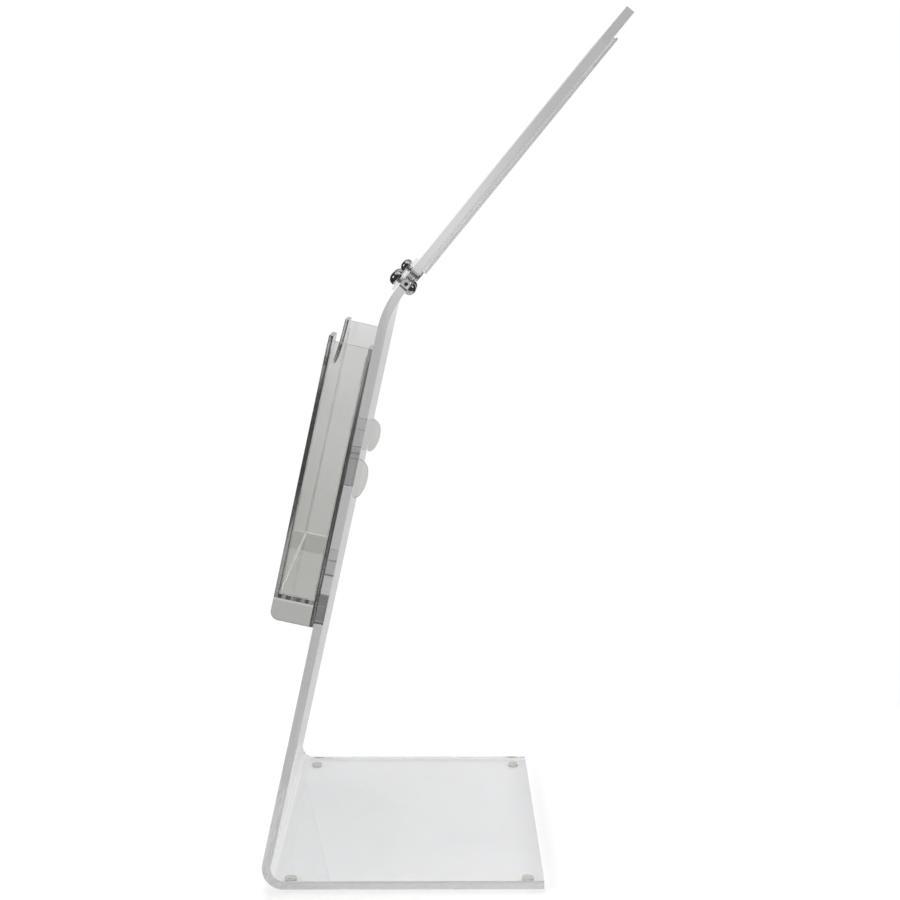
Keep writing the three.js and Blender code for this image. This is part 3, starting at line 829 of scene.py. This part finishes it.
def screw(name, head, y, z, tip, body, node):
    """A turned screw: eased tip, thread, dome and hexagonal socket."""
    shank = tip - HEAD_X
    ease = 0.3 * MM
    profile = [(0, -shank), (SHANK_RADIUS - ease, -shank), (SHANK_RADIUS, ease - shank)]
    pitch = 0.5 * MM
    depth = 0.25 * MM
    turns = int((shank - 2 * MM) / pitch)
    for k in range(turns):
        start = 0.4 * MM - shank + k * pitch
        profile.append((SHANK_RADIUS, start))
        profile.append((SHANK_RADIUS - depth, start + pitch / 2))
    profile += [(SHANK_RADIUS, -1 * MM), (SHANK_RADIUS, 0)]
    profile += dome(*head)
    obj = turned(name, profile, -1, (HEAD_X, y, z))
    hexagon = arc((y, z), SOCKET_RADIUS, 0, 300, 5)
    top = HEAD_X - head[2]
    cutter = prism("cutter", hexagon, top - CUT_PAST / 2, top + SOCKET_DEPTH, along="X")
    combine(obj, [cutter], "DIFFERENCE")
    materials = [CHROME, THREAD]
    for face in obj.data.polygons:
        face.material_index = materials.index(THREAD if face.center.x > HEAD_X + SEAM else CHROME)
    finish_mesh(obj, AT_BOARD, 0)
    piece(obj, materials, body, [node])


def cap_nut(name, y, z, body, node):
    bore = SHANK_RADIUS + GAP
    profile = [(0, NUT_BORE_DEPTH), (bore, NUT_BORE_DEPTH), (bore, 0)]
    profile += dome(*DOME_NUT)
    obj = turned(name, profile, 1, (NUT_X, y, z))
    finish_mesh(obj, AT_BOARD, 0)
    piece(obj, [CHROME], body, [node])


def ring(name, outer, height, edge, direction, at, body, node):
    """A washer or a low nut: a flat ring with eased edges."""
    bore = SHANK_RADIUS + GAP
    profile = [(bore, edge), (bore + edge, 0), (outer - edge, 0), (outer, edge),
               (outer, height - edge), (outer - edge, height), (bore + edge, height),
               (bore, height - edge), (bore, edge)]
    obj = turned(name, profile, direction, at)
    finish_mesh(obj, AT_BOARD, 0)
    piece(obj, [CHROME], body, [node])


def fasteners(prefix, body, screw_y, z, domed):
    """Two screws with their washers and nuts: domed cap nuts, or low ones behind the board."""
    head = STEM_HEAD if domed else BOARD_HEAD
    nut_radius = DOME_NUT[0] if domed else LOW_NUT_RADIUS
    tip = NUT_X + (NUT_BORE_DEPTH - 0.4 * MM if domed else LOW_NUT_HEIGHT - 0.1 * MM)
    washers = (("front", FRONT_WASHER_X, -1, head[0]), ("rear", REAR_WASHER_X, 1, nut_radius))
    for hand, side in HANDS:
        y = side * screw_y
        screw(f"{prefix}_dome_screw_{hand}", head, y, z, tip, body, f"{prefix}_screw_{hand}")
        for where, x, direction, radius in washers:
            ring(f"{prefix}_{where}_flat_washer_{hand}", radius - WASHER_INSET, WASHER_THICKNESS,
                 WASHER_EDGE, direction, (x, y, z), body, f"{prefix}_{where}_washer_{hand}")
        if domed:
            cap_nut(f"{prefix}_cap_nut_{hand}", y, z, body, f"{prefix}_nut_{hand}")
        else:
            ring(f"{prefix}_low_nut_{hand}", LOW_NUT_RADIUS, LOW_NUT_HEIGHT, LOW_NUT_EDGE, 1,
                 (NUT_X, y, z), body, f"{prefix}_nut_{hand}")


# ---- board ---------------------------------------------------------------------------------

def board():
    """The board's panel, the thin cover behind it and the two strips of tape between them."""
    across = (-WIDTH / 2, WIDTH / 2)
    panel = block("board_clear_panel", (-HALF_SHEET, HALF_SHEET), across,
                  (END_GAP, END_GAP + BOARD_LENGTH), caps=EDGE, sides=FACE, cut_sides=(0, 2))
    holes = [rod_x("hole", HOLE_RADIUS, -SHEET, SHEET, (side * BOARD_SCREW_Y, SCREW_OFFSET))
             for _, side in HANDS]
    combine(panel, holes, "DIFFERENCE")
    finish_mesh(panel, AT_BOARD, EDGE_BEVEL)
    piece(panel, CLEAR, "board", ["board_panel"])

    x = HALF_SHEET + 2 * GAP + BOND_THICKNESS
    cover = block("board_rear_cover", (x, x + COVER_THICKNESS), across, COVER_RANGE,
                  caps=EDGE, sides=FACE, cut_sides=(0, 2))
    finish_mesh(cover, AT_BOARD, FINE_BEVEL)
    piece(cover, THIN_CLEAR, "board", ["rear_cover_sheet"])

    outer = WIDTH / 2 - BOND_INSET
    for hand, side in HANDS:
        edges = sorted((side * outer, side * (outer - BOND_WIDTH)))
        x = HALF_SHEET + SEAM
        strip = block(f"bond_tape_{hand}", (x, x + BOND_THICKNESS + 2 * GAP - 2 * SEAM), edges,
                      (COVER_RANGE[0] + MM, COVER_RANGE[1] - MM))
        finish_mesh(strip, AT_BOARD, TAPE_BEVEL)
        piece(strip, [TAPE], "board", [f"cover_bond_strip_{hand}"])


# ---- pocket --------------------------------------------------------------------------------

def cheek_outline():
    """A cheek with its tab below and its hook above, all in one outline."""
    r = TAB_CORNER
    lip = stem_rear + GAP
    reach = stem_rear + HOOK_REACH
    tip = stem_rear - TAB_END
    outline = arc((pocket_front + BOTTOM_CORNER, POCKET_BOTTOM + BOTTOM_CORNER), BOTTOM_CORNER,
                  180, 270, 14)
    outline += [(pocket_rear, POCKET_BOTTOM), (pocket_rear, TAB[0])]
    outline += arc((tip - r, TAB[0] + r), r, -90, 0, 5)
    outline += arc((tip - r, TAB[1] - r), r, 0, 90, 5)
    outline += [(pocket_rear, TAB[1]), (pocket_rear, HOOK_NECK[0]), (lip, HOOK_NECK[0])]
    outline += [(lip, HOOK_LIP_BOTTOM + HOOK_LIP_ROUND)]
    outline += bezier(outline[-1], (lip, HOOK_LIP_BOTTOM + 0.7 * MM),
                      (lip + 0.7 * MM, HOOK_LIP_BOTTOM), (lip + HOOK_LIP_ROUND, HOOK_LIP_BOTTOM), 8)
    belly = (reach, HOOK_NECK[0] + 5 * MM)
    outline += bezier(outline[-1], (reach - 2.2 * MM, HOOK_LIP_BOTTOM), (reach, HOOK_NECK[0]),
                      belly, 16)
    outline += bezier(belly, (reach, HOOK_NECK[1] - 5 * MM),
                      (reach - 2.2 * MM, HOOK_NECK[1] - 1.6 * MM), (stem_rear, HOOK_NECK[1]), 16)
    outline += [(pocket_rear, HOOK_NECK[1]), (pocket_rear, POCKET_TOP)]
    outline += arc((pocket_front + TOP_CORNER, POCKET_TOP - TOP_CORNER), TOP_CORNER, 90, 180, 10)
    return outline


def pocket_cheeks():
    outer = POCKET_WIDTH / 2
    for hand, low, high in (("right", -outer, WALL - outer), ("left", outer - WALL, outer)):
        cheek = prism(f"pocket_side_panel_{hand}", cheek_outline(), low, high)
        finish_mesh(cheek, AT_STEM, FINE_BEVEL)
        piece(cheek, CHEEK, "pocket", [f"pocket_cheek_{hand}"])


def pocket_back():
    """The wall at the stem, with a shallow dip in its top."""
    dip = POCKET_TOP - DIP_DEPTH
    half = DIP_HALF_WIDTH / 2
    outline = [(-inner_half, POCKET_BOTTOM), (inner_half, POCKET_BOTTOM), (inner_half, POCKET_TOP)]
    outline += [(DIP_HALF_WIDTH, POCKET_TOP)]
    outline += bezier(outline[-1], (half, POCKET_TOP), (half, dip), (0, dip), 18)
    outline += bezier((0, dip), (-half, dip), (-half, POCKET_TOP), (-DIP_HALF_WIDTH, POCKET_TOP), 18)
    outline += [(-inner_half, POCKET_TOP)]
    back = prism("pocket_back_panel", outline, pocket_rear - WALL, pocket_rear, along="X")
    finish_mesh(back, AT_STEM, FINE_BEVEL)
    piece(back, WALLS, "pocket", ["pocket_back"])


def pocket_front_panel():
    """The wall at the user's side, with a wide notch for the fingers."""
    notch = FRONT_TOP - NOTCH_DEPTH
    shoulder = NOTCH_HALF_WIDTH + NOTCH_ROUND
    r = FRONT_CORNER
    outline = [(-inner_half, FLOOR_TOP + SEAM), (inner_half, FLOOR_TOP + SEAM)]
    outline += arc((inner_half - r, FRONT_TOP - r), r, 0, 90, 6)
    outline += [(shoulder, FRONT_TOP)]
    outline += bezier(outline[-1], (NOTCH_HALF_WIDTH, FRONT_TOP), (NOTCH_HALF_WIDTH, notch),
                      (0, notch), 28)
    outline += bezier((0, notch), (-NOTCH_HALF_WIDTH, notch), (-NOTCH_HALF_WIDTH, FRONT_TOP),
                      (-shoulder, FRONT_TOP), 28)
    outline += arc((r - inner_half, FRONT_TOP - r), r, 90, 180, 6)
    front = prism("pocket_front_panel", outline, pocket_front, pocket_front + WALL, along="X")
    finish_mesh(front, AT_STEM, FINE_BEVEL)
    piece(front, WALLS, "pocket", ["pocket_front"])


def pocket_floor():
    floor_panel = block("pocket_floor_panel", (pocket_front, pocket_rear - WALL - SEAM),
                        (-inner_half, inner_half), (FLOOR_TOP - WALL, FLOOR_TOP),
                        caps=EDGE, sides=FACE, cut_sides=(1, 3))
    finish_mesh(floor_panel, AT_STEM, FINE_BEVEL)
    piece(floor_panel, WALLS, "pocket", ["pocket_floor"])


def bead(name, start, end, away, beside):
    """A run of cement in an inner corner, from start to end, a little uneven.

    away and beside point from the corner along its two panels.
    """
    start, end = Vector(start), Vector(end)
    count = max(12, int((end - start).length / WELD_STEP))
    bm = bmesh.new()
    rings = []
    for k in range(count + 1):
        t = k / count
        swell = WELD_SIZE * (1 + 0.18 * math.sin(37 * t) + 0.12 * math.sin(91 * t + 1.3))
        root = start.lerp(end, t) + (away + beside) * WELD_LIFT
        points = [root, root + away * swell]
        points.append(root + (away + beside) * swell * 0.36)
        points.append(root + beside * swell)
        rings.append([bm.verts.new(p) for p in points])
    for a, b in zip(rings, rings[1:]):
        for i in range(4):
            j = (i + 1) % 4
            bm.faces.new((a[i], a[j], b[j], b[i]))
    bm.faces.new(rings[0])
    bm.faces.new(rings[-1])
    obj = new_object(name, bm)
    finish_mesh(obj, AT_STEM, 0, sharp=60)
    piece(obj, [CEMENT], "pocket")


def weld_beads():
    rear, front, up = Vector((1, 0, 0)), Vector((-1, 0, 0)), Vector((0, 0, 1))
    x_front = pocket_front + WALL
    x_back = pocket_rear - WALL
    half = inner_half - WELD_INSET
    low = FLOOR_TOP + 1 * MM
    high = POCKET_TOP - 6 * MM
    for wall, x, inward in (("front", x_front, rear), ("back", x_back, front)):
        bead(f"weld_floor_{wall}", (x, -half, FLOOR_TOP), (x, half, FLOOR_TOP), inward, up)
    for hand, side in HANDS:
        y = side * half
        sideways = Vector((0, -side, 0))
        bead(f"weld_front_{hand}", (x_front, y, low), (x_front, y, high), rear, sideways)
        bead(f"weld_back_{hand}", (x_back, y, low), (x_back, y, high), front, sideways)
        bead(f"weld_floor_{hand}", (x_front + WELD_SIZE, y, FLOOR_TOP),
             (x_back - WELD_SIZE, y, FLOOR_TOP), up, sideways)


stand_sheet()
for row in ("front", "rear"):
    for hand, _ in HANDS:
        bumper_foot(f"foot_{row}_{hand}")
hinge_leaf("stem_clear_leaf", -1, "stand", "stem_hinge_leaf")
hinge_leaf("board_clear_leaf", 1, "board", "board_hinge_leaf")
for hand, side in HANDS:
    hinge_filler(f"hinge_spacer_{hand}", side)
hinge_rod()
fasteners("stem", "stand", STEM_SCREW_Y, -SCREW_OFFSET, True)
fasteners("board", "board", BOARD_SCREW_Y, SCREW_OFFSET, False)
board()
pocket_cheeks()
pocket_back()
pocket_front_panel()
pocket_floor()
weld_beads()


# ---- floor, light and camera ---------------------------------------------------------------

FLOOR_RADIUS = 0.9
UNDER_BASE = (0.15, 0.23)            # painted light: the floor greys between these distances from the middle, lighter under the base
FLOOR_TONES = (0.79, 0.60)           # as the plastic sees it, under the base and farther out
FLOOR_SOLID = 0.28                   # the floor fades out between these distances
FLOOR_GONE = 0.62
FLOOR_BRIGHT = 0.98                  # as the camera sees it
SIDE_DARK = 0.05                     # what the dark side of the room gives back
WINDOWS = (                          # direction, cosines of the inner and outer edge, strength
    ((-0.9, -0.35, 0.35), 0.975, 0.960, 1.4),
    ((0.8, -0.5, 0.45), 0.985, 0.975, 1.2),
)


def floor():
    """A pale round floor that fades into the white background."""
    bm = bmesh.new()
    bm.faces.new([bm.verts.new((x, y, 0)) for x, y in circle(FLOOR_RADIUS, sides=96)])
    ground = new_object("studio_floor", bm)
    if ground.data.polygons[0].normal.z < 0:
        ground.data.flip_normals()
    shader = Shader("pale_floor")
    seen = shader.add("ShaderNodeLightPath").outputs["Is Camera Ray"]
    length = shader.add("ShaderNodeVectorMath", operation="LENGTH")
    shader.link(shader.coords, length.inputs[0])
    away = length.outputs["Value"]
    grain = shader.ramp(shader.noise(60, 4), 0.3, 0.7, 0.0, 0.02)
    # painted pool of light: the plastic sees the floor lighter under the base, greyer farther out
    tone = shader.maths("SUBTRACT", shader.ramp(away, *UNDER_BASE, *FLOOR_TONES), grain)
    tone = shader.maths("MAXIMUM", tone, shader.maths("MULTIPLY", seen, FLOOR_BRIGHT))
    body = principled(shader, Base_Color=tone, Roughness=0.6)
    fade = shader.ramp(away, FLOOR_SOLID, FLOOR_GONE)
    clear = shader.add("ShaderNodeBsdfTransparent")
    shader.show_mix(fade, body.outputs[0], clear.outputs[0])
    ground.data.materials[FACE] = shader.material


def studio_world():
    """White behind the object; the plastic and the chrome see a grey studio.

    What shines through the plastic is a light backdrop on every side. What is mirrored has that
    backdrop behind the object only, a dark side facing it, and lamps overhead and at the sides.
    """
    shader = Shader("studio", world=True)
    _, leftward, height = shader.split(shader.coords)
    level = shader.maths("MULTIPLY", shader.ramp(height, -0.09, 0.0, 0.60, 0.92),
                         shader.ramp(height, -0.01, 0.085, 1.0, 0.69))
    path = shader.add("ShaderNodeLightPath")
    behind = shader.ramp(leftward, 0.62, 0.90)
    lit = shader.maths("MAXIMUM", behind, path.outputs["Is Transmission Ray"])
    backdrop = shader.maths("MULTIPLY", lit, level)
    total = shader.maths("ADD", backdrop, shader.ramp(height, 0.80, 0.88, SIDE_DARK, 0.9))
    for direction, inner, outer, strength in WINDOWS:
        aim = shader.add("ShaderNodeVectorMath", operation="DOT_PRODUCT")
        shader.link(shader.coords, aim.inputs[0])
        aim.inputs[1].default_value = Vector(direction).normalized()
        patch = shader.ramp(aim.outputs["Value"], outer, inner, 0.0, strength)
        total = shader.maths("ADD", total, patch)
    grey = shader.add("ShaderNodeBackground")
    shader.link(total, grey.inputs["Color"])
    white = shader.add("ShaderNodeBackground")
    white.inputs["Color"].default_value = (1, 1, 1, 1)
    shader.show_mix(path.outputs["Is Camera Ray"], grey.outputs[0], white.outputs[0])
    bpy.context.scene.world = shader.material


def soft_box(name, place, aim, size, power):
    data = bpy.data.lights.new(name, "AREA")
    data.shape = "RECTANGLE"
    data.size, data.size_y = size
    data.energy = power
    lamp = bpy.data.objects.new(name, data)
    bpy.context.scene.collection.objects.link(lamp)
    lamp.location = place
    lamp.rotation_euler = (Vector(aim) - Vector(place)).to_track_quat("-Z", "Y").to_euler()
    lamp.visible_glossy = False          # the studio world shows the lamps to chrome and plastic
    lamp.visible_transmission = False


def lights():
    middle = (cad_box[0] + cad_box[1]) / 2
    soft_box("overhead_box", (0.1, 0.1, 1.7), aim=(0, 0, 0), size=(1.3, 1.3), power=20)
    soft_box("left_box", (-1.5, -0.7, 1.0), aim=middle, size=(0.9, 1.2), power=10)
    soft_box("right_box", (1.5, -0.3, 1.1), aim=middle, size=(0.7, 1.1), power=8)


CAMERA_PLACE = (0.0007, -1.1497, 0.4506)
CAMERA_PITCH = math.radians(8.14)    # downwards
CAMERA_YAW = math.radians(0.29)      # towards the object's rear
LENS = 63.3


def camera():
    """Looks at the object's right side, square on and from a little above."""
    data = bpy.data.cameras.new("camera")
    data.sensor_width = 36
    data.lens = LENS
    data.clip_start = 0.05
    cam = bpy.data.objects.new("camera", data)
    bpy.context.scene.collection.objects.link(cam)
    cam.location = CAMERA_PLACE
    cam.rotation_euler = (math.pi / 2 - CAMERA_PITCH, 0, -CAMERA_YAW)
    bpy.context.scene.camera = cam


def look():
    """Plain colours, and enough bounces for light to cross many clear walls."""
    scene = bpy.context.scene
    scene.view_settings.view_transform = "Standard"
    scene.cycles.max_bounces = 48
    scene.cycles.transmission_bounces = 32
    scene.cycles.glossy_bounces = 32
    scene.cycles.transparent_max_bounces = 24
    scene.cycles.sample_clamp_indirect = 6
    scene.cycles.caustics_reflective = False
    scene.cycles.caustics_refractive = True


floor()
studio_world()
lights()
camera()
look()


def corners(bounds):
    return [list(corner) for corner in bounds]
